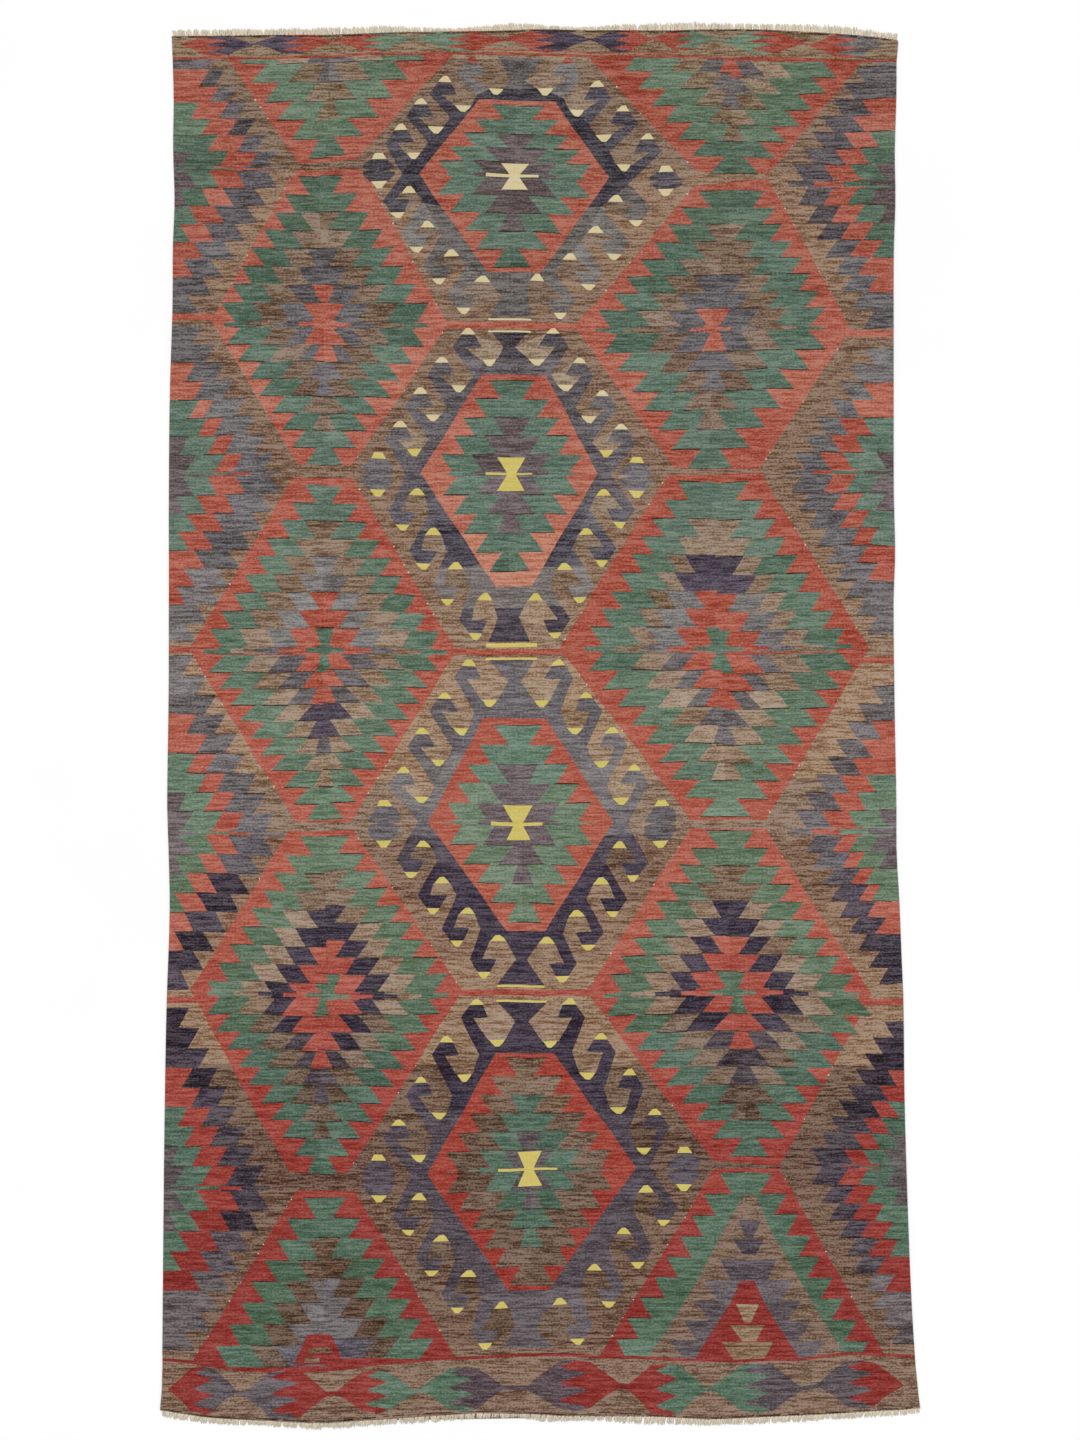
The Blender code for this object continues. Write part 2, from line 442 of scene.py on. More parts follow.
# ---------------------------------------------------------------- half medallions at the selvages
# tip, middle: y of the tip and of the middle row; rings: for the blue, red, green and purple yarns,
# the first row and its half width
Side = namedtuple("Side", "tip middle rows step rings")
Half = namedtuple("Half", "side axis upper lower")
HALF_YARNS = ("side_blue", "red", "green", "purple")
HALF_SLANT = 11.0
SELVAGE_REACH = 16.0  # rows run on past the axis to the selvage
HALVES = (
    Half(1, 174, Side(36, 168, 8, 10.4, ((0, 27), (2, 34), (4, 26), (7, 17))),
         Side(313, 171, 8, 11.0, ((0, 25), (2, 19), (4, 16), (6, 13)))),
    Half(1, 170, Side(326, 473, 8, 9.8, ((0, 32), (2, 25), (4, 28), (6, 16))),
         Side(642, 477, 9, 10.2, ((0, 25), (2, 14), (5, 17), (7, 14)))),
    Half(1, 168, Side(657, 833, 9, 9.6, ((0, 27), (3, 30), (5, 30), (7, 18))),
         Side(992, 837, 8, 11.4, ((0, 20), (2, 15), (4, 17), (6, 14)))),
    Half(1, 165, Side(1010, 1186, 9, 9.3, ((0, 23), (3, 29), (5, 22), (7, 14))),
         Side(1350, 1191, 8, 10.4, ((0, 29), (3, 35), (4, 15), (6, 12)))),
    Half(-1, 895, Side(50, 180, 8, 10.5, ((0, 26), (3, 32), (5, 26), (7, 19))),
         Side(328, 187, 8, 9.0, ((0, 32), (2, 30), (4, 24), (6, 18)))),
    Half(-1, 893, Side(348, 472, 7, 11.2, ((0, 27), (2, 31), (4, 28), (6, 16))),
         Side(636, 477, 9, 9.0, ((0, 26), (3, 26), (5, 24), (7, 17)))),
    Half(-1, 895, Side(688, 829, 8, 10.3, ((0, 25), (2, 25), (5, 28), (7, 15))),
         Side(983, 836, 9, 8.9, ((0, 15), (3, 19), (5, 22), (7, 16)))),
    Half(-1, 905, Side(1021, 1165, 9, 9.0, ((0, 20), (3, 19), (5, 18), (7, 14))),
         Side(1343, 1168, 10, 8.8, ((0, 11), (3, 20), (5, 15), (8, 12)))),
)


def half_medallion(data, rng):
    """Half of a medallion against the selvage: blue, red, green and purple rings."""
    edge = data.axis - data.side * SELVAGE_REACH
    nests = []
    for part in (data.upper, data.lower):
        rings = tuple((yarn, *ring) for yarn, ring in zip(HALF_YARNS, part.rings))
        heights = (part.tip, part.middle)
        nests.append(Nest(data.axis, data.axis, heights, heights, part.rows, part.step, HALF_SLANT, rings))
    for level in range(len(HALF_YARNS)):
        for nest in nests:
            half_ring(nest, data.side, nest.rings[level], rng, SELVAGE_REACH)
    top, base = data.upper.middle - 1, data.lower.middle
    upper = nests[0]
    for ring in upper.rings:
        reach = ring_width(upper, ring, upper.rows - 1) - HALF_SLANT
        near = data.axis + data.side * (reach - 4)
        far = data.axis + data.side * (reach + rng.uniform(14, 22))
        lay(ring[0], ((edge, top - 0.5), (near, top - 0.5), (near, base + 0.5), (edge, base + 0.5)))
        lay(ring[0], ((near, top + 1.2), (far, top + 1.5), (far, base - 1.0), (near, base - 1.0)))


# ---------------------------------------------------------------- hooked medallions
# cap: the pale mark on a hook, at the edge that meets the hook; bowl: the pale mark against the band.
# first: the hook by the stem; last: the one by the side tip.
Arm = namedtuple("Arm", "cap_first cap_last bowl_first bowl_last")
# stem: (left, right, end y, left and right of its neck, neck y); tips: the band's side tips;
# glass: (top, base, half width there, half width at the base); bar: (top, base, left, right);
# diamonds: (x, cap y, foot y) beyond each tip
Hooked = namedtuple("Hooked", "arms stem_top stem_base tips field upper lower bars glass bar diamonds")
HOOKS = 4  # on each arm
CAP_BOW = 4.5
BOWL_BOW = 8.5
HOOKED = (
    Hooked(
        (Arm((472, 64), (401, 132), (497, 90), (415, 155)),
         Arm((568, 63), (648, 138), (546, 88), (625, 163)),
         Arm((463, 309), (399, 214), (482, 283), (410, 195)),
         Arm((559, 312), (636, 218), (537, 281), (616, 200))),
        (498, 545, 58, 511, 526, 80), (488, 530, 319, 501, 527, 297), ((403, 176), (629, 182)),
        ((480, 101), (556, 101), (610, 176), (540, 273), (487, 273), (420, 176)),
        Nest(518, 516, (106, 177), (106, 177), 5, 11.6, 14,
             (("hook_green", 0, 27), ("purple", 2, 20))),
        Nest(511, 516, (268, 178), (268, 178), 5, 13.3, 15,
             (("hook_green", 0, 19), ("purple", 2, 15))),
        (175, 178, 67, 13), (164, 190, 14, 13), (174.5, 178, 487, 540),
        ((380, 154, 189), (666, 165, 195))),
    Hooked(
        (Arm((467, 335), (399, 427), (488, 360), (413, 449)),
         Arm((552, 333), (621, 428), (535, 359), (606, 449)),
         Arm((476, 631), (403, 525), (486, 598), (416, 495)),
         Arm((556, 631), (621, 521), (537, 599), (604, 495))),
        (490, 528, 332, 503, 514, 348), (489, 531, 640, 499, 520, 616), ((405, 475), (612, 474)),
        ((480, 375), (545, 375), (598, 473), (533, 585), (497, 585), (420, 473)),
        Nest(511, 511, (381, 472), (381, 472), 5, 11.0, 13,
             (("hook_green", 0, 23), ("purple", 2, 18))),
        Nest(511, 511, (570, 475), (570, 475), 5, 11.4, 14,
             (("hook_green", 0, 20), ("purple", 2, 13))),
        (471.5, 474.5, 62, 12.5), (457, 490, 14, 14), (472, 474.5, 485, 532),
        ((377, 453, 497), (637, 455, 496))),
    Hooked(
        (Arm((470, 664), (403, 773), (490, 698), (420, 797)),
         Arm((558, 664), (633, 771), (542, 698), (620, 798)),
         Arm((485, 971), (410, 872), (498, 940), (422, 847)),
         Arm((563, 975), (633, 875), (547, 942), (619, 848))),
        (490, 535, 657, 508, 521, 680), (498, 545, 984, 517, 528, 959), ((417, 822), (627, 823)),
        ((483, 716), (545, 716), (612, 822), (545, 930), (507, 930), (427, 822)),
        Nest(517, 517, (723, 821), (723, 821), 5, 11.2, 14,
             (("hook_green", 0, 24), ("purple", 2, 21))),
        Nest(524, 518, (921, 824), (921, 824), 5, 13.2, 14,
             (("hook_green", 0, 16), ("purple", 2, 11))),
        (819.5, 823, 64, 12.5), (803, 838, 15, 12), (820, 824, 490, 541),
        ((383, 800, 847), (660, 801, 849))),
    Hooked(
        (Arm((477, 1004), (399, 1123), (498, 1040), (419, 1153)),
         Arm((571, 1004), (654, 1115), (551, 1041), (643, 1148)),
         Arm((485, 1342), (407, 1228), (500, 1308), (419, 1198)),
         Arm((577, 1341), (662, 1221), (559, 1306), (645, 1193))),
        (498, 548, 1002, 517, 530, 1021), (503, 552, 1348, 515, 536, 1328), ((411, 1173), (648, 1167)),
        ((497, 1053), (555, 1053), (635, 1168), (548, 1291), (508, 1291), (427, 1172)),
        Nest(527, 529, (1058, 1169), (1058, 1169), 6, 11.6, 12,
             (("hook_brown", 0, 21), ("hook_green", 2, 17), ("purple", 4, 14))),
        Nest(531, 529, (1286, 1172), (1286, 1172), 6, 11.4, 12,
             (("hook_brown", 0, 22), ("hook_green", 2, 12), ("purple", 4, 10))),
        (1168, 1172, 72, 11.5), (1152, 1187, 12, 12), (1168.5, 1171.5, 498, 557),
        ((379, 1152, 1200), (683, 1148, 1192))),
)


def arm_marks(arm, side, up):
    """Where the cap and the bowl of each hook sit, from the stem to the side tip."""
    marks = []
    for k in range(HOOKS):
        share = k / (HOOKS - 1)
        swell = math.sin(math.pi * share)
        places = []
        for first, last, bow in (
            (arm.cap_first, arm.cap_last, CAP_BOW), (arm.bowl_first, arm.bowl_last, BOWL_BOW),
        ):
            places.append((
                between(first[0], last[0], share) + side * 0.8 * bow * swell,
                between(first[1], last[1], share) + up * 0.6 * bow * swell,
            ))
        marks.append(places)
    return marks


def pale_mark(yarn, x, y, half, deep, rng):
    """A small round-topped mark with a straight edge at y; deep points away from that edge."""
    half = half * rng.uniform(0.92, 1.10)
    deep = deep * rng.uniform(0.88, 1.08)
    lean = rng.uniform(-0.8, 0.8)
    lay(yarn, (
        (x - half, y), (x - half * 0.68, y + deep * 0.45), (x - half * 0.27 + lean, y + deep * 0.94),
        (x + half * 0.27 + lean, y + deep), (x + half * 0.70, y + deep * 0.50), (x + half, y),
    ))


def hook(mark, notch, next_notch, side, up, head, cap, rng):
    """One hook: its blue arm and head, the brown inside it, and its two pale marks."""
    (cap_x, cap_y), (bowl_x, bowl_y) = mark
    turn_y = cap_y - up * head  # the height of the hook's outer corner and of its tip
    corner = (cap_x + side * 15.0, turn_y)
    cap_inner = (cap_x - side * 6.5, cap_y)
    cap_outer = (cap_x + side * 6.5, cap_y)
    nib = (cap_x - side * 13.0 + rng.uniform(-1.5, 1.5), turn_y)
    inside = (corner[0] - side * 12.5, turn_y - up * 0.5)
    lay("blue", (cap_inner, cap_outer, corner, next_notch, notch))
    lay("hook_brown", (
        notch, cap_inner, nib, (between(nib[0], inside[0], 0.5), turn_y - up * 0.8), inside,
        (bowl_x + side * 8.5, bowl_y), (bowl_x - side * 8.0, bowl_y),
    ))
    pale_mark("pale", bowl_x, bowl_y, 7.5, -up * 7.0, rng)
    pale_mark(cap, cap_x, cap_y, 6.8, up * 6.3, rng)


def side_diamond(cx, cap_y, foot_y):
    """The small diamond beyond the side tip: pale cap and foot, blue core."""
    middle = (cap_y + foot_y) / 2
    lay("blue", (
        (cx - 7, cap_y + 6), (cx + 8, cap_y + 6), (cx + 15, cap_y + 13), (cx + 16, middle + 5),
        (cx + 9, foot_y - 7), (cx - 9, foot_y - 7), (cx - 16, foot_y - 13), (cx - 16, middle - 5),
    ))
    lay("hook_brown", ((cx - 18, middle - 2.2), (cx - 5, middle - 0.8), (cx - 18, middle + 1.6)))
    lay("hook_brown", ((cx + 18, middle - 1.6), (cx + 5, middle + 0.8), (cx + 18, middle + 2.2)))
    lay("pale", ((cx - 4, cap_y), (cx + 4, cap_y), (cx + 8, cap_y + 6), (cx - 7, cap_y + 6)))
    lay("pale", ((cx - 8, foot_y - 7), (cx + 8, foot_y - 7), (cx + 2.5, foot_y), (cx - 2.5, foot_y)))


def hooked_medallion(data, first, rng):
    """A blue band with hooks, its stems, the red field inside and the pale hourglass."""
    arms = []
    for index, arm in enumerate(data.arms):
        up = -1 if index < 2 else 1
        side = -1 if index % 2 == 0 else 1
        marks = arm_marks(arm, side, up)
        stem = data.stem_top if up < 0 else data.stem_base
        head = 12.5
        notches = [(stem[3 if side < 0 else 4], stem[5])]
        notches += [(bowl[0] - side * 14.0, cap[1] - up * head) for cap, bowl in marks[1:]]
        notches.append(data.tips[0 if side < 0 else 1])
        arms.append((up, side, head, marks, notches))
    upper_left, upper_right, lower_left, lower_right = [arm[4] for arm in arms]
    top_l, top_r, top_y = data.stem_top[:3]
    base_l, base_r, base_y = data.stem_base[:3]
    lay("blue", (
        [(top_l, top_y)] + upper_left + lower_left[::-1] + [(base_l, base_y), (base_r, base_y)]
        + lower_right + upper_right[::-1] + [(top_r, top_y)]
    ))
    for up, side, head, marks, notches in arms:
        for k, mark in enumerate(marks):
            cap = "red" if (first and up < 0 and k == 0) else "pale"
            hook(mark, notches[k], notches[k + 1], side, up, head, cap, rng)
    lay("hook_red", data.field)
    medallion_rings = (data.upper, data.lower)
    for level in range(len(data.upper.rings)):
        for nest in medallion_rings:
            for side in (-1, 1):
                half_ring(nest, side, nest.rings[level], rng)
    middle_bars(data.upper.middle, data.bars, data.upper.rings, rng)
    waist = data.upper.middle
    glass_top, glass_base, wide_top, wide_base = data.glass
    bar_top, bar_base, bar_left, bar_right = data.bar
    neck = (bar_top + bar_base) / 2
    lay("pale", (
        (waist - wide_top, glass_top), (waist + wide_top, glass_top), (waist + 4, neck),
        (waist + wide_base, glass_base), (waist - wide_base, glass_base), (waist - 4, neck),
    ))
    lay("pale", (
        (bar_left, bar_top), (bar_right, bar_top + 0.5), (bar_right, bar_base - 0.5), (bar_left, bar_base),
    ))
    for diamond in data.diamonds:
        side_diamond(*diamond)


# ---------------------------------------------------------------- end borders
Lobe = namedtuple("Lobe", "left right middle rise fall left_yarn right_yarn")
LOWER_LOBES = (
    Lobe(173, 230, 1390, 25, 22, "red", "blue"),
    Lobe(248, 322, 1393, 25, 25, "blue", "red"),
    Lobe(340, 410, 1392, 22, 20, "red", "green"),
    Lobe(426, 500, 1388, 22, 22, "green", "purple"),
    Lobe(533, 616, 1388, 26, 24, "purple", "red"),
    Lobe(632, 702, 1390, 25, 28, "red", "green"),
    Lobe(718, 798, 1388, 25, 24, "green", "blue"),
    Lobe(824, 898, 1385, 25, 22, "blue", "red"),
)
UPPER_LOBES = (
    Lobe(186, 246, 44, 10, 11, "red", "navy"),
    Lobe(261, 325, 42, 10, 11, "navy", "red"),
    Lobe(340, 404, 41, 9, 12, "red", "green"),
    Lobe(422, 498, 41, 10, 12, "green", "red"),
    Lobe(512, 583, 39, 10, 13, "red", "navy"),
    Lobe(598, 647, 39, 10, 13, "navy", "red"),
    Lobe(659, 710, 38, 9, 12, "red", "green"),
    Lobe(728, 800, 40, 11, 12, "green", "red"),
    Lobe(817, 880, 44, 12, 13, "red", "blue"),
)
LOWER_LINE = (
    (158, 1360), (190, 1361), (235, 1368), (300, 1371), (350, 1367), (400, 1361), (450, 1357),
    (540, 1355), (600, 1359), (700, 1361), (800, 1359), (855, 1353), (925, 1356),
)
UPPER_LINE = (
    (160, 59), (200, 57), (300, 57), (360, 56), (420, 56), (470, 55), (540, 54), (600, 56),
    (680, 56), (740, 57), (790, 56), (850, 60), (905, 62),
)


def lobe_outline(lobe):
    """Outline of one lens, drawn out to a point at both ends."""
    shoulder = (lobe.right - lobe.left) * 0.30
    centre = (lobe.left + lobe.right) / 2
    return [
        (lobe.left - 6, lobe.middle - 0.8),
        (lobe.left + shoulder * 0.45, lobe.middle - lobe.rise * 0.55),
        (lobe.left + shoulder, lobe.middle - lobe.rise * 0.92),
        (centre, lobe.middle - lobe.rise),
        (lobe.right - shoulder, lobe.middle - lobe.rise * 0.92),
        (lobe.right - shoulder * 0.45, lobe.middle - lobe.rise * 0.55),
        (lobe.right + 6, lobe.middle - 0.8),
        (lobe.right + 6, lobe.middle + 0.8),
        (lobe.right - shoulder * 0.5, lobe.middle + lobe.fall * 0.5),
        (lobe.right - shoulder, lobe.middle + lobe.fall * 0.92),
        (centre, lobe.middle + lobe.fall),
        (lobe.left + shoulder, lobe.middle + lobe.fall * 0.92),
        (lobe.left + shoulder * 0.5, lobe.middle + lobe.fall * 0.5),
        (lobe.left - 6, lobe.middle + 0.8),
    ]


def right_part(outline, edge_x):
    """The part of an outline that lies right of a line down the rug."""
    kept = []
    for a, b in zip(outline, outline[1:] + outline[:1]):
        if a[0] >= edge_x:
            kept.append(a)
        if (a[0] >= edge_x) != (b[0] >= edge_x):
            share = (edge_x - a[0]) / (b[0] - a[0])
            kept.append((edge_x, between(a[1], b[1], share)))
    return kept


def lobe_border(lobes, rng):
    """A chain of two-coloured lenses; each pair of yarns meets in pointed fingers."""
    for lobe in lobes:
        outline = lobe_outline(lobe)
        centre = between(lobe.left, lobe.right, 0.5 + rng.uniform(-0.03, 0.03))
        height = lobe.rise + lobe.fall
        lay(lobe.left_yarn, outline)
        lay(lobe.right_yarn, right_part(outline, centre))
        for k in range(3):
            y = lobe.middle - lobe.rise + height * (k + 0.5) / 3.0
            half = height / 6.4
            reach = (lobe.right - lobe.left) * rng.uniform(0.17, 0.24) * 0.8
            lay(lobe.right_yarn, (
                (centre + 1, y - half * 0.9), (centre + 1, y + half * 0.5),
                (centre - reach, y - half * 0.2),
            ))
            lay(lobe.left_yarn, (
                (centre - 1, y + half * 0.1), (centre - 1, y + half * 1.3), (centre + reach, y + half * 0.75),
            ))
    for one, two in zip(lobes, lobes[1:]):
        thick = 2.2 if one.rise > 15 else 0.9
        lay(one.right_yarn, (
            (one.right - 4, one.middle - thick), (two.left + 4, two.middle - thick),
            (two.left + 4, two.middle + thick), (one.right - 4, one.middle + thick),
        ))


def line_across(yarn, line, thick):
    """A narrow line of yarn along these points."""
    upper = [(x, y - thick / 2) for x, y in line]
    lower = [(x, y + thick / 2) for x, y in reversed(line)]
    lay(yarn, upper + lower)


# Trapezia inside the last medallion: top, base, left and right at the top, left and right at the base.
BLUE_STEPS = (
    (1221, 1239, 738, 761, 745, 752),
    (1240, 1255, 732, 763, 742, 755),
    (1260, 1281, 719, 777, 731, 768),
    (1281, 1301, 705, 793, 717, 781),
    (1301, 1321, 695, 802, 708, 789),
    (1321, 1341, 684, 812, 698, 798),
    (1341, 1362, 672, 826, 686, 811),
)
PALE_STEPS = (
    (1304, 1322, 736, 759, 745, 752),
    (1325, 1341, 731, 766, 744, 757),
    (1342, 1362, 723, 774, 736, 763),
)


def steps_down(yarn, steps):
    for top, base, left, right, low_left, low_right in steps:
        lay(yarn, ((left, top), (right, top), (low_right, base), (low_left, base)))


def lower_right_inside():
    """The last medallion is worked straight-sided inside its green ring."""
    lay("tooth_brown", (
        (742, 1196), (754, 1196), (775, 1240), (797, 1276),
        (850, 1362), (648, 1362), (692, 1290), (715, 1246),
    ))
    steps_down("blue", BLUE_STEPS)
    lay("red", ((741, 1281), (755, 1281), (764, 1302), (803, 1362), (695, 1362), (731, 1302)))
    steps_down("light_brown", PALE_STEPS)
    lay("red", ((306, 1334), (330, 1334), (344, 1364), (292, 1364)))
    lay("brown", ((309, 1348), (328, 1346), (331, 1352), (306, 1353)))
    lay("brown", ((304, 1357), (318, 1357), (319, 1362), (303, 1362)))


def end_bands(rng):
    """Plain ground beyond the two red lines, with the chain of lenses on it."""
    lay("brown", [(120, 0), (960, 0)] + list(reversed(UPPER_LINE)))
    line_across("red", UPPER_LINE, 2.6)
    line_across("red", [(x, y - 4) for x, y in UPPER_LINE[5:9]], 1.6)
    lay("brown", list(LOWER_LINE) + [(960, 1440), (120, 1440)])
    line_across("red", LOWER_LINE, 3.0)
    lobe_border(UPPER_LOBES, rng)
    lobe_border(LOWER_LOBES, rng)


def end_shadows(outline, rng):
    """Painted shadow along the last picks at each end, against the fringe, as dark yarn in broken runs."""
    for node, sign in (("fringe_upper", 1), ("fringe_lower", -1)):
        low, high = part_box(node)
        x = low.x + 0.008
        run = rng.uniform(0.012, 0.060)
        while x + run < high.x - 0.008:
            line = []
            for k in range(4):
                along = x + run * k / 3
                line.append(steadied(to_chart((along, edge_y(outline, along, sign) - sign * 0.0026))))
            line_across("painted_shadow", line, rng.uniform(0.8, 1.6))
            x += run + rng.uniform(0.002, 0.020)
            run = rng.uniform(0.012, 0.060)


def slits(rng):
    """Pale warp showing in the short slits where two yarns turn back along a medallion's sides."""
    for data in MEDALLIONS:
        corners = data.corners
        for a, b in ((1, 2), (2, 3), (4, 5), (5, 0)):
            (ax, ay), (bx, by) = corners[a], corners[b]
            steps = max(1, int(abs(by - ay) / 9))
            for k in range(1, steps):
                if rng.random() > 0.34:
                    continue
                share = (k + rng.uniform(-0.2, 0.2)) / steps
                x, y = between(ax, bx, share), between(ay, by, share)
                size = rng.uniform(0.45, 1.0)
                lay("cream", ((x - size, y), (x, y - size), (x + size, y), (x, y + size)))


def chart(seed, outline=None):
    """Lay down the whole design in weaving order."""
    rng = random.Random(seed)
    lay("brown", ((120, 0), (960, 0), (960, 1440), (120, 1440)))
    # the lines across the rug at the middle rows of the serrated medallions
    for left_y, mid_y, right_y, thick in ((316, 326, 334, 7), (650, 650, 662, 6), (1001, 992, 1001, 6)):
        line_across("red", (
            (150, left_y), (230, left_y + 2), (440, mid_y), (600, mid_y), (830, right_y), (925, right_y),
        ), thick)
    for data in HALVES:
        half_medallion(data, rng)
    for data in MEDALLIONS:
        medallion(data, rng)
    lower_right_inside()
    slits(rng)
    for index, data in enumerate(HOOKED):
        hooked_medallion(data, index == 0, rng)
    for left, right, y, thick in (
        (487, 530, 320.0, 1.8), (487, 530, 332.0, 1.8), (487, 538, 643.0, 4.0),
        (487, 538, 656.5, 2.2), (498, 545, 985.5, 2.0), (497, 548, 1000.5, 2.0),
    ):
        line_across("pale", ((left, y), ((left + right) / 2, y + 0.4), (right, y)), thick)
    end_bands(rng)
    if outline is not None:
        end_shadows(outline, rng)


# ---------------------------------------------------------------- the cloth
OUTLINE_STEP = 0.030  # longest side of a cloth face along a yarn's edge
LOOSE_STEP = 0.046  # between the points spread over large plain areas
MERGE = 0.00004
COLOUR_ATTRIBUTE = "Yarn"


def to_metres(point):
    x, y = point
    return (x - CHART_MIDDLE[0]) * CHART_UNIT, (CHART_MIDDLE[1] - y) * CHART_UNIT


def to_chart(point):
    x, y = point
    return x / CHART_UNIT + CHART_MIDDLE[0], CHART_MIDDLE[1] - y / CHART_UNIT


def drift(point):
    """Hand weaving wanders: long slow waves and a short tremor, the same for all yarns."""
    x, y = point
    dx = 1.2 * math.sin(y / 70 + x / 200) + 0.45 * math.sin(y / 8.3 + x / 37)
    dy = 1.5 * math.sin(x / 95 + y / 310) + 0.9 * math.sin(x / 41 - y / 120 + 1.3)
    dy += 0.4 * math.sin(x / 10.5 + y / 53)
    return x + dx, y + dy


def steadied(point):
    """Where a point must be charted for the drift to bring it here."""
    x, y = point
    moved_x, moved_y = drift(point)
    return 2 * x - moved_x, 2 * y - moved_y


def linear(channel):
    share = channel / 255.0
    return share / 12.92 if share <= 0.04045 else ((share + 0.055) / 1.055) ** 2.4


def signed_area(ring):
    return sum(a[0] * b[1] - b[0] * a[1] for a, b in zip(ring, ring[1:] + ring[:1])) / 2


def with_steps(ring, longest):
    """The closed ring with points added so that no side is longer than this."""
    points = []
    for a, b in zip(ring, ring[1:] + ring[:1]):
        count = max(1, math.ceil(math.dist(a, b) / longest))
        points += [(between(a[0], b[0], k / count), between(a[1], b[1], k / count)) for k in range(count)]
    return points


def cloth_outline():
    """The cloth's edge as its CAD node has it: one closed loop of (x, y), anticlockwise."""
    shape = bmesh.new()
    shape.from_mesh(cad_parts["kilim_cloth"].data)
    bmesh.ops.remove_doubles(shape, verts=shape.verts, dist=0.00001)
    bmesh.ops.delete(shape, geom=[f for f in shape.faces if f.normal.z < 0.99], context="FACES")
    start = next(e for e in shape.edges if e.is_boundary)
    ring = [start.verts[0]]
    edge = start
    while True:
        vertex = edge.other_vert(ring[-1])
        if vertex == ring[0]:
            break
        ring.append(vertex)
        edge = next(e for e in vertex.link_edges if e.is_boundary and e != edge)
    outline = [(v.co.x, v.co.y) for v in ring]
    shape.free()
    if signed_area(outline) < 0:
        outline.reverse()
    return outline


def tiles(outline, rng):
    """The cloth's points and its triangles, each with the number of the area that shows there."""
    points = []
    rings = []

    def add(ring, longest):
        ring = with_steps(ring, longest)
        if signed_area(ring) < 0:
            ring.reverse()
        rings.append(list(range(len(points), len(points) + len(ring))))
        points.extend(Vector(point) for point in ring)

    add(outline, OUTLINE_STEP)
    for _, area in AREAS:
        add([to_metres(drift(point)) for point in with_steps(area, OUTLINE_STEP / CHART_UNIT)], 1.0)
    lots_across = []
    for yarn in SPLIT_YARNS:
        for limit, *_ in DYE_LOTS[yarn][:-1]:
            line = [to_metres(drift((x, limit))) for x in range(130, 960, 40)]
            first = len(points)
            points.extend(Vector(point) for point in line)
            lots_across += [(k, k + 1) for k in range(first, first + len(line) - 1)]
    low = [min(p[axis] for p in outline) for axis in (0, 1)]
    high = [max(p[axis] for p in outline) for axis in (0, 1)]
    columns = int((high[0] - low[0]) / LOOSE_STEP)
    rows = int((high[1] - low[1]) / LOOSE_STEP)
    for row in range(rows + 1):
        for column in range(columns + 1):
            x = low[0] + (column + rng.uniform(-0.2, 0.2)) * LOOSE_STEP
            y = low[1] + (row + rng.uniform(-0.2, 0.2)) * LOOSE_STEP
            points.append(Vector((x, y)))
    found, _, triangles, _, _, under = delaunay_2d_cdt(points, lots_across, rings, 1, MERGE, True)
    # ring 0 is the cloth itself, and ring k + 1 is area k
    shown = [(corners, max(over) - 1) for corners, over in zip(triangles, under) if 0 in over]
    return found, shown


def yarn_colours(rng):
    """For each area, a function from chart y to its linear colour and streak strength."""
    dyed = []
    for yarn, area in AREAS:
        heights = [y for _, y in area]
        tall = max(heights) - min(heights) > SPLIT_HEIGHT and yarn in SPLIT_YARNS
        middle = None if tall else sum(heights) / len(heights)
        dyed.append((yarn, middle, rng.uniform(-TONE_SPREAD, TONE_SPREAD)))
    return dyed


def tile_colour(dyed, chart_y):
    """The yarn's linear colour there, dyed a little stronger or weaker, and its streak strength."""
    yarn, middle, tone = dyed
    y = chart_y if middle is None else middle
    strength, = lot(STREAKS, yarn, y)
    power = 1.0 + tone * strength + STREAK_PULL * strength ** 2
    colour = [linear(channel) ** power for channel in lot(DYE_LOTS, yarn, y)]
    return (*colour, strength * STREAK_DEPTH)


def outward_normals(ring):
    """At each point of an anticlockwise ring of vertices, the direction out of it."""
    normals = {}
    for before, here, after in zip(ring[-1:] + ring[:-1], ring, ring[1:] + ring[:1]):
        along = (after.co - before.co).normalized()
        normals[here] = Vector((along.y, -along.x, 0.0))
    return normals


def boundary_ring(shape):
    """The sheet's boundary vertices in order, anticlockwise."""
    edges = [e for e in shape.edges if e.is_boundary]
    follows = {}
    for edge in edges:
        loop = edge.link_loops[0]
        follows[loop.vert] = loop.link_loop_next.vert
    ring = [edges[0].link_loops[0].vert]
    while follows[ring[-1]] != ring[0]:
        ring.append(follows[ring[-1]])
    return ring, edges


def round_the_edge(shape, tint):
    """Carry the sheet's boundary down to the floor side in three strips that round the selvage."""
    ring, edges = boundary_ring(shape)
    outward = outward_normals(ring)
    start = {v: v.co.copy() for v in ring}
    for drop, push in ((0.30, 1.0), (0.70, 1.0), (1.0, 0.0)):
        colours = {e: e.link_loops[0][tint].copy() for e in edges}
        made = bmesh.ops.extrude_edge_only(shape, edges=edges)["geom"]
        fresh = {v for v in made if isinstance(v, bmesh.types.BMVert)}
        for vertex in fresh:
            old = next(e.other_vert(vertex) for e in vertex.link_edges if e.other_vert(vertex) in start)
            start[vertex] = start[old]
            outward[vertex] = outward[old]
        for vertex in fresh:
            vertex.co = start[vertex] + outward[vertex] * EDGE_ROUNDING * push
            vertex.co.z = CLOTH_THICKNESS * (1.0 - drop)
        for face in (f for f in made if isinstance(f, bmesh.types.BMFace)):
            colour = next(colours[e] for e in face.edges if e in colours)
            for loop in face.loops:
                loop[tint] = colour
        for vertex in ring:
            start.pop(vertex)
        edges = [e for e in made if isinstance(e, bmesh.types.BMEdge) and e.is_boundary]
        ring = list(fresh)


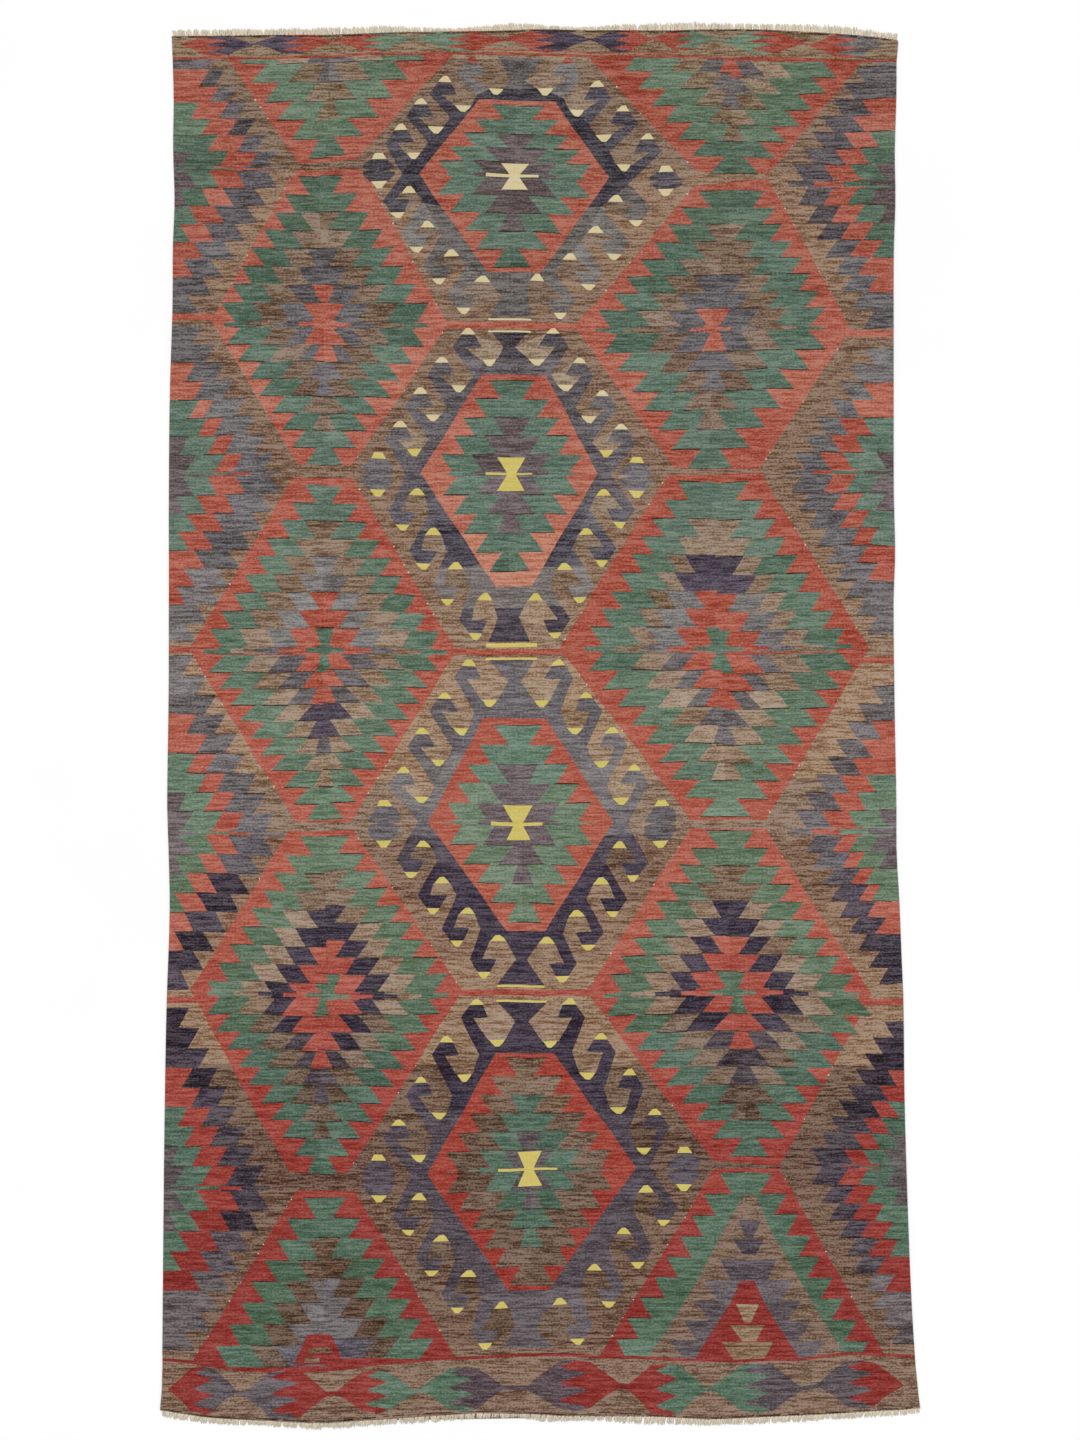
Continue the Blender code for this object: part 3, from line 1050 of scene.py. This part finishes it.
def ripple(x, y):
    """The gentle lift of a limp cloth lying on a floor."""
    swell = math.sin(2.3 * x + 1.1 * y + 0.4) * math.sin(1.7 * y - 0.9 * x)
    swell += 0.6 * math.sin(4.1 * x - 2.2 * y)
    return HIGHEST_RIPPLE * max(0.0, swell) / 1.6


def lay_flat_map(shape):
    """A map straight down on to the cloth, so both faces share one picture of the weave."""
    flat = shape.loops.layers.uv.new("OFBake")
    xs = [v.co.x for v in shape.verts]
    ys = [v.co.y for v in shape.verts]
    left, lower = min(xs), min(ys)
    width, length = max(xs) - left, max(ys) - lower
    for face in shape.faces:
        for loop in face.loops:
            loop[flat].uv = ((loop.vert.co.x - left) / width, (loop.vert.co.y - lower) / length)


def woven_cloth(outline, seed):
    """The whole cloth as one closed sheet, its yarn colours on the corners of its faces."""
    rng = random.Random(seed)
    places, shown = tiles(outline, rng)
    dyed = yarn_colours(rng)
    shape = bmesh.new()
    tint = shape.loops.layers.float_color.new(COLOUR_ATTRIBUTE)
    vertices = [shape.verts.new((place.x, place.y, CLOTH_THICKNESS)) for place in places]
    for corners, area in shown:
        face = shape.faces.new([vertices[k] for k in corners])
        _, chart_y = to_chart(face.calc_center_median()[:2])
        colour = tile_colour(dyed[area], chart_y)
        for loop in face.loops:
            loop[tint] = colour
    bmesh.ops.delete(shape, geom=[v for v in shape.verts if not v.link_faces], context="VERTS")
    upper = list(shape.faces)
    round_the_edge(shape, tint)
    under = bmesh.ops.duplicate(shape, geom=upper)["geom"]
    under_faces = [f for f in under if isinstance(f, bmesh.types.BMFace)]
    bmesh.ops.reverse_faces(shape, faces=under_faces)
    under_vertices = [v for v in under if isinstance(v, bmesh.types.BMVert)]
    bmesh.ops.translate(shape, verts=under_vertices, vec=(0, 0, -CLOTH_THICKNESS))
    bmesh.ops.remove_doubles(shape, verts=[v for v in shape.verts if v.co.z < 0.00001], dist=0.000001)
    bmesh.ops.recalc_face_normals(shape, faces=shape.faces)
    for vertex in shape.verts:
        vertex.co.z += ripple(vertex.co.x, vertex.co.y)
    lay_flat_map(shape)
    return shape


# ---------------------------------------------------------------- the fringes
BUNCHES = 195  # of warp ends knotted together, at each end
STRANDS = 5  # in a bunch
STRAND_RADIUS = 0.00105
KNOT_SIZE = (0.0021, 0.0016, 0.0011)


def strand_pattern():
    """One warp end of unit length and width, standing up from the origin."""
    shape = bmesh.new()
    bmesh.ops.create_cone(
        shape, cap_ends=True, cap_tris=False, segments=5, radius1=1.0, radius2=0.75, depth=1.0,
    )
    bmesh.ops.translate(shape, verts=shape.verts, vec=(0, 0, 0.5))
    lengthwise = [e for e in shape.edges if abs(e.verts[0].co.z - e.verts[1].co.z) > 0.5]
    bmesh.ops.subdivide_edges(shape, edges=lengthwise, cuts=3, use_grid_fill=True)
    return shape


def knot_pattern():
    shape = bmesh.new()
    bmesh.ops.create_uvsphere(shape, u_segments=8, v_segments=5, radius=1.0)
    return shape


def edge_y(ring, x, sign):
    """How far out the cloth reaches at this x, towards its upper (1) or lower (-1) end."""
    found = []
    for (ax, ay), (bx, by) in zip(ring, ring[1:] + ring[:1]):
        if ax != bx and min(ax, bx) <= x <= max(ax, bx):
            found.append(between(ay, by, (x - ax) / (bx - ax)))
    return max(found) if sign > 0 else min(found)


def tip_y(node, x, sign):
    """The furthest point of the CAD fringe near this x."""
    near = [v.co.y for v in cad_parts[node].data.vertices if abs(v.co.x - x) < 0.008]
    return max(near) if sign > 0 else min(near)


def join_copy(whole, pattern, place, tint, tone):
    """Add a copy of the pattern to the whole, each point moved by place."""
    piece = pattern.copy()
    colour = piece.loops.layers.float_color.new(COLOUR_ATTRIBUTE)
    for face in piece.faces:
        for loop in face.loops:
            loop[colour] = (*[channel * tone for channel in tint], 0.0)
    for vertex in piece.verts:
        vertex.co = place(vertex.co.copy())
    mesh = bpy.data.meshes.new("fringe_copy")
    piece.to_mesh(mesh)
    piece.free()
    whole.from_mesh(mesh)
    bpy.data.meshes.remove(mesh)


def warp_fringe(outline, node, sign, seed):
    """A row of knotted bunches of warp ends along one end of the cloth."""
    rng = random.Random(seed)
    strand, knot = strand_pattern(), knot_pattern()
    low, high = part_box(node)
    left, right = low.x + 0.003, high.x - 0.003
    pitch = (right - left) / BUNCHES
    warp = [linear(channel) for channel in (217, 205, 183)]
    whole = bmesh.new()
    whole.loops.layers.float_color.new(COLOUR_ATTRIBUTE)
    for bunch in range(BUNCHES):
        x = left + (bunch + 0.5 + rng.uniform(-0.12, 0.12)) * pitch
        edge = edge_y(outline, x, sign)
        tip = tip_y(node, x, sign)
        reach = abs(tip - edge)
        lean = rng.uniform(-0.9, 0.9) * pitch * 0.45
        tone = rng.uniform(0.90, 1.06)
        swell = rng.uniform(0.85, 1.15)

        def knot_place(co, x=x, edge=edge, swell=swell):
            return Vector((
                x + co.x * KNOT_SIZE[0] * swell,
                edge + sign * 0.0015 + co.y * KNOT_SIZE[1],
                0.0013 + co.z * KNOT_SIZE[2] * swell,
            ))

        join_copy(whole, knot, knot_place, warp, tone * 1.05)
        for k in range(STRANDS):
            spread = (k - (STRANDS - 1) / 2) / STRANDS
            root_x = x + spread * pitch * 0.75
            end_x = x + spread * pitch * 1.10 + lean + rng.uniform(-1, 1) * 0.0009
            length = reach * rng.uniform(0.86, 1.28)
            bend = rng.uniform(-1, 1) * 0.0007
            thick = STRAND_RADIUS * rng.uniform(0.85, 1.12)
            lift = rng.uniform(0.0, 0.0012)
            tuck = rng.uniform(0.0003, 0.0012)

            def strand_place(co, root_x=root_x, end_x=end_x, length=length, bend=bend, thick=thick,
                             lift=lift, tuck=tuck, edge=edge):
                t = co.z
                along = tuck + t * (length - tuck)
                centre_x = between(root_x, end_x, t) + bend * math.sin(math.pi * t)
                centre_z = thick + lift * math.sin(math.pi * t) ** 2 + 0.0004 * (1 - t)
                return Vector((
                    centre_x + co.x * thick,
                    edge + sign * along,
                    max(0.00005, centre_z + co.y * thick * 0.85),
                ))

            join_copy(whole, strand, strand_place, warp, tone * rng.uniform(0.93, 1.05))
    bmesh.ops.recalc_face_normals(whole, faces=whole.faces)
    strand.free()
    knot.free()
    return whole


# ---------------------------------------------------------------- finishes
def new_group(name, inputs, outputs):
    """A shader node group with these sockets; returns it with its input and output nodes."""
    group = bpy.data.node_groups.new(name, "ShaderNodeTree")
    for label, kind, value in inputs:
        socket = group.interface.new_socket(name=label, in_out="INPUT", socket_type=kind)
        socket.default_value = value
    for label, kind in outputs:
        group.interface.new_socket(name=label, in_out="OUTPUT", socket_type=kind)
    return group, group.nodes.new("NodeGroupInput"), group.nodes.new("NodeGroupOutput")


def add_node(tree, kind, links=(), **settings):
    """A node with its settings and its inputs, each a value or another node's output."""
    node = tree.nodes.new(kind)
    for key, value in settings.items():
        setattr(node, key, value)
    for socket, value in dict(links).items():
        if isinstance(value, bpy.types.NodeSocket):
            tree.links.new(value, node.inputs[socket])
        else:
            node.inputs[socket].default_value = value
    return node


def maths(tree, operation, first, second=0.0, third=0.0):
    return add_node(
        tree, "ShaderNodeMath", {0: first, 1: second, 2: third}, operation=operation,
    ).outputs[0]


def wave(tree, turns):
    """A sine of so many turns, carried to the span from 0 to 1."""
    sine = maths(tree, "SINE", maths(tree, "MULTIPLY", turns, math.tau))
    return maths(tree, "MULTIPLY_ADD", sine, 0.5, 0.5)


def fibre_noise(tree, place, scale, detail=2.0):
    """Noise stretched to this many features a metre along each axis."""
    stretched = add_node(tree, "ShaderNodeMapping", {"Vector": place, "Scale": scale}).outputs[0]
    return add_node(
        tree, "ShaderNodeTexNoise", {"Vector": stretched, "Scale": 1.0, "Detail": detail, "Roughness": 0.55},
    ).outputs["Fac"]


def span(tree, value, low, high, to_low=0.0, to_high=1.0):
    """A value between low and high carried smoothly on to another span."""
    return add_node(
        tree, "ShaderNodeMapRange",
        {"Value": value, "From Min": low, "From Max": high, "To Min": to_low, "To Max": to_high},
        interpolation_type="SMOOTHSTEP",
    ).outputs["Result"]


def make_mix(tree, share, first, second, blend="MIX"):
    """Mix two colours; the colour sockets of the node are the seventh and eighth."""
    node = tree.nodes.new("ShaderNodeMix")
    node.data_type = "RGBA"
    node.blend_type = blend
    for socket, value in ((node.inputs[0], share), (node.inputs[6], first), (node.inputs[7], second)):
        if isinstance(value, bpy.types.NodeSocket):
            tree.links.new(value, socket)
        else:
            socket.default_value = value
    return node.outputs[2]


def grey(value):
    return (value, value, value, 1.0)


LOT_SWAY = 2.8  # how far each scale of noise carries a yarn's shade
WEFT_SWAY = 6.0
PICK_SWAY = 8.4
GRAIN_SWAY = 7.4
DARKEST = 1.75  # limits of the power that a yarn's colour is raised to
LIGHTEST = 0.80


def weave_group():
    """Weft-faced weave: streaked picks, undyed hairs, warp ribs and the bead-like turns of weft, with painted
    shade in their furrows and painted light on their crests.
    """
    group, given, result = new_group(
        "weft_faced_weave",
        (("Yarn", "NodeSocketColor", grey(0.5)), ("Streaks", "NodeSocketFloat", 0.3)),
        (("Colour", "NodeSocketColor"), ("Height", "NodeSocketFloat")),
    )
    place = add_node(group, "ShaderNodeTexCoord").outputs["Object"]
    x, y, _ = add_node(group, "ShaderNodeSeparateXYZ", {0: place}).outputs
    yarn = given.outputs["Yarn"]
    strength = given.outputs["Streaks"]
    lots = fibre_noise(group, place, (1.1, 20.0, 1.0), 2.0)
    wefts = fibre_noise(group, place, (8.0, 130.0, 1.0), 1.0)
    picks = fibre_noise(group, place, (31.0, 245.0, 1.0), 1.0)
    grains = fibre_noise(group, place, (210.0, 270.0, 1.0), 1.0)

    # lighter and darker picks: every dye keeps its hue and is stronger or weaker in the wool
    sway = -0.5 * (LOT_SWAY + WEFT_SWAY + PICK_SWAY + GRAIN_SWAY)
    for noise, weight in ((lots, LOT_SWAY), (wefts, WEFT_SWAY), (picks, PICK_SWAY), (grains, GRAIN_SWAY)):
        sway = maths(group, "MULTIPLY_ADD", noise, weight, sway)
    power = maths(group, "SUBTRACT", 1.0, maths(group, "MULTIPLY", sway, strength))
    power = maths(group, "MAXIMUM", maths(group, "MINIMUM", power, DARKEST), LIGHTEST)
    colour = add_node(group, "ShaderNodeGamma", {"Color": yarn, "Gamma": power}).outputs[0]

    # undyed hairs
    hairs = maths(group, "MULTIPLY", span(group, grains, 0.62, 0.80), 0.03)
    colour = make_mix(group, hairs, colour, (0.48, 0.40, 0.31, 1.0))

    # the covered warps stand up as ribs, and each turn of weft over one is a bead
    wander = fibre_noise(group, place, (14.0, 5.0, 1.0), 1.0)
    rib_x = maths(group, "MULTIPLY_ADD", wander, 0.0011, x)
    rib_phase = maths(group, "DIVIDE", rib_x, WARP_PITCH)
    rib = wave(group, rib_phase)
    stagger = maths(group, "MULTIPLY", maths(group, "FLOOR", maths(group, "ADD", rib_phase, 0.25)), 0.5)
    bead_phase = maths(group, "ADD", maths(group, "DIVIDE", y, PICK_PITCH), stagger)
    bead = wave(group, bead_phase)
    relief = maths(group, "MULTIPLY", rib, maths(group, "MULTIPLY_ADD", bead, 0.35, 0.65))
    # painted shade in the furrows and painted light on the crests of ribs and beads, multiplied into the
    # colour
    painted_furrow_shade = maths(group, "MULTIPLY_ADD", relief, 0.25, 0.835)
    colour = make_mix(group, 1.0, colour, painted_furrow_shade, "MULTIPLY")

    height = maths(group, "MULTIPLY_ADD", picks, 0.35, relief)
    group.links.new(colour, result.inputs["Colour"])
    group.links.new(height, result.inputs["Height"])
    return group


def twist_group():
    """Two-ply undyed warp: slanting plies with painted shade between them and painted light on their crests,
    and soft mottling.
    """
    group, given, result = new_group(
        "plied_yarn",
        (("Yarn", "NodeSocketColor", grey(0.6)),),
        (("Colour", "NodeSocketColor"), ("Height", "NodeSocketFloat")),
    )
    place = add_node(group, "ShaderNodeTexCoord").outputs["Object"]
    x, y, _ = add_node(group, "ShaderNodeSeparateXYZ", {0: place}).outputs
    slant = maths(group, "MULTIPLY_ADD", x, 255.0, maths(group, "MULTIPLY", y, 414.0))
    ply = wave(group, slant)
    mottle = fibre_noise(group, place, (420.0, 260.0, 300.0), 2.0)
    # painted shade in the grooves between plies and painted light on their crests, times a soft mottling of
    # the wool
    shade = maths(group, "MULTIPLY_ADD", ply, 0.12, span(group, mottle, 0.25, 0.75, 0.80, 1.00))
    colour = make_mix(group, 1.0, given.outputs["Yarn"], shade, "MULTIPLY")
    group.links.new(colour, result.inputs["Colour"])
    group.links.new(maths(group, "MULTIPLY_ADD", mottle, 0.5, ply), result.inputs["Height"])
    return group


def yarn_material(name, group, bump, roughness, sheen):
    """A matt yarn: the group's colour and relief on a rough shader."""
    material = bpy.data.materials.new(name)
    material.use_nodes = True
    tree = material.node_tree
    shader = tree.nodes["Principled BSDF"]
    shader.inputs["Roughness"].default_value = roughness
    shader.inputs["Specular IOR Level"].default_value = 0.05
    shader.inputs["Sheen Weight"].default_value = sheen
    shader.inputs["Sheen Roughness"].default_value = 0.6
    yarn = add_node(tree, "ShaderNodeVertexColor", layer_name=COLOUR_ATTRIBUTE)
    weave = add_node(tree, "ShaderNodeGroup", node_tree=group)
    tree.links.new(yarn.outputs["Color"], weave.inputs["Yarn"])
    if "Streaks" in weave.inputs:
        tree.links.new(yarn.outputs["Alpha"], weave.inputs["Streaks"])
    relief = add_node(
        tree, "ShaderNodeBump", {"Strength": 0.6, "Distance": bump, "Height": weave.outputs["Height"]},
    )
    tree.links.new(weave.outputs["Colour"], shader.inputs["Base Color"])
    tree.links.new(relief.outputs["Normal"], shader.inputs["Normal"])
    return material


def floor_material():
    material = bpy.data.materials.new("studio_floor")
    material.use_nodes = True
    tree = material.node_tree
    shader = tree.nodes["Principled BSDF"]
    shader.inputs["Roughness"].default_value = 0.9
    shader.inputs["Specular IOR Level"].default_value = 0.1
    place = add_node(tree, "ShaderNodeTexCoord").outputs["Object"]
    mottle = fibre_noise(tree, place, (1.5, 1.5, 1.5), 3.0)
    tone = span(tree, mottle, 0.3, 0.7, 0.905, 0.925)
    tree.links.new(make_mix(tree, tone, grey(0.0), grey(1.0)), shader.inputs["Base Color"])
    return material


# ---------------------------------------------------------------- assembly
def add_piece(name, shape, material):
    mesh = bpy.data.meshes.new(name)
    shape.to_mesh(mesh)
    shape.free()
    mesh.materials.append(material)
    mesh.shade_smooth()
    mesh.set_sharp_from_angle(angle=math.radians(40))
    piece = bpy.data.objects.new(name, mesh)
    bpy.context.scene.collection.objects.link(piece)
    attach(piece, "root")
    return piece


def add_floor():
    shape = bmesh.new()
    bmesh.ops.create_grid(shape, x_segments=1, y_segments=1, size=9.0)
    mesh = bpy.data.meshes.new("floor")
    shape.to_mesh(mesh)
    shape.free()
    mesh.materials.append(floor_material())
    floor = bpy.data.objects.new("floor", mesh)
    floor.location.z = -0.0002
    bpy.context.scene.collection.objects.link(floor)
    return floor


SUN_STRENGTH = 2.24
SUN_ANGLE = math.radians(28)
SUN_TILT = (math.radians(38), math.radians(-24))  # from above, to the upper left
SKY_STRENGTH = 0.582


def add_light():
    """Soft light from the upper left, and the same white all round."""
    data = bpy.data.lights.new("soft_key", "SUN")
    data.energy = SUN_STRENGTH
    data.angle = SUN_ANGLE
    sun = bpy.data.objects.new("soft_key", data)
    sun.rotation_euler = (-SUN_TILT[0], SUN_TILT[1], 0.0)
    bpy.context.scene.collection.objects.link(sun)
    world = bpy.data.worlds.new("studio")
    world.use_nodes = True
    background = world.node_tree.nodes["Background"]
    background.inputs["Color"].default_value = (1.0, 1.0, 1.0, 1.0)
    background.inputs["Strength"].default_value = SKY_STRENGTH
    bpy.context.scene.world = world
    bpy.context.scene.view_settings.view_transform = "Standard"


LENS = 85.0
SENSOR = 36.0
VIEW_LENGTH = 3.073  # of the floor, from the top to the bottom of the picture
VIEW_MIDDLE_Y = 0.0117


def add_camera():
    """Straight above the rug, its upper end at the top of the picture."""
    data = bpy.data.cameras.new("camera")
    data.lens = LENS
    data.sensor_width = SENSOR
    data.clip_end = 60.0
    camera = bpy.data.objects.new("camera", data)
    camera.location = (0.0, VIEW_MIDDLE_Y, VIEW_LENGTH * LENS / SENSOR + CLOTH_THICKNESS)
    bpy.context.scene.collection.objects.link(camera)
    bpy.context.scene.camera = camera


def main():
    outline = cloth_outline()
    chart(seed=11, outline=outline)
    wool = yarn_material("wool_weft", weave_group(), 0.0006, 0.95, 0.02)
    warp = yarn_material("undyed_warp", twist_group(), 0.0003, 0.95, 0.05)
    floor = add_floor()
    cloth = add_piece("kilim_woven_cloth", woven_cloth(outline, seed=5), wool)
    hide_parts("kilim_cloth")
    for name, node, sign, seed in (
        ("kilim_upper_fringe", "fringe_upper", 1, 7),
        ("kilim_lower_fringe", "fringe_lower", -1, 8),
    ):
        fringe = add_piece(name, warp_fringe(outline, node, sign, seed), warp)
        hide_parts(node)
    add_light()
    add_camera()


main()
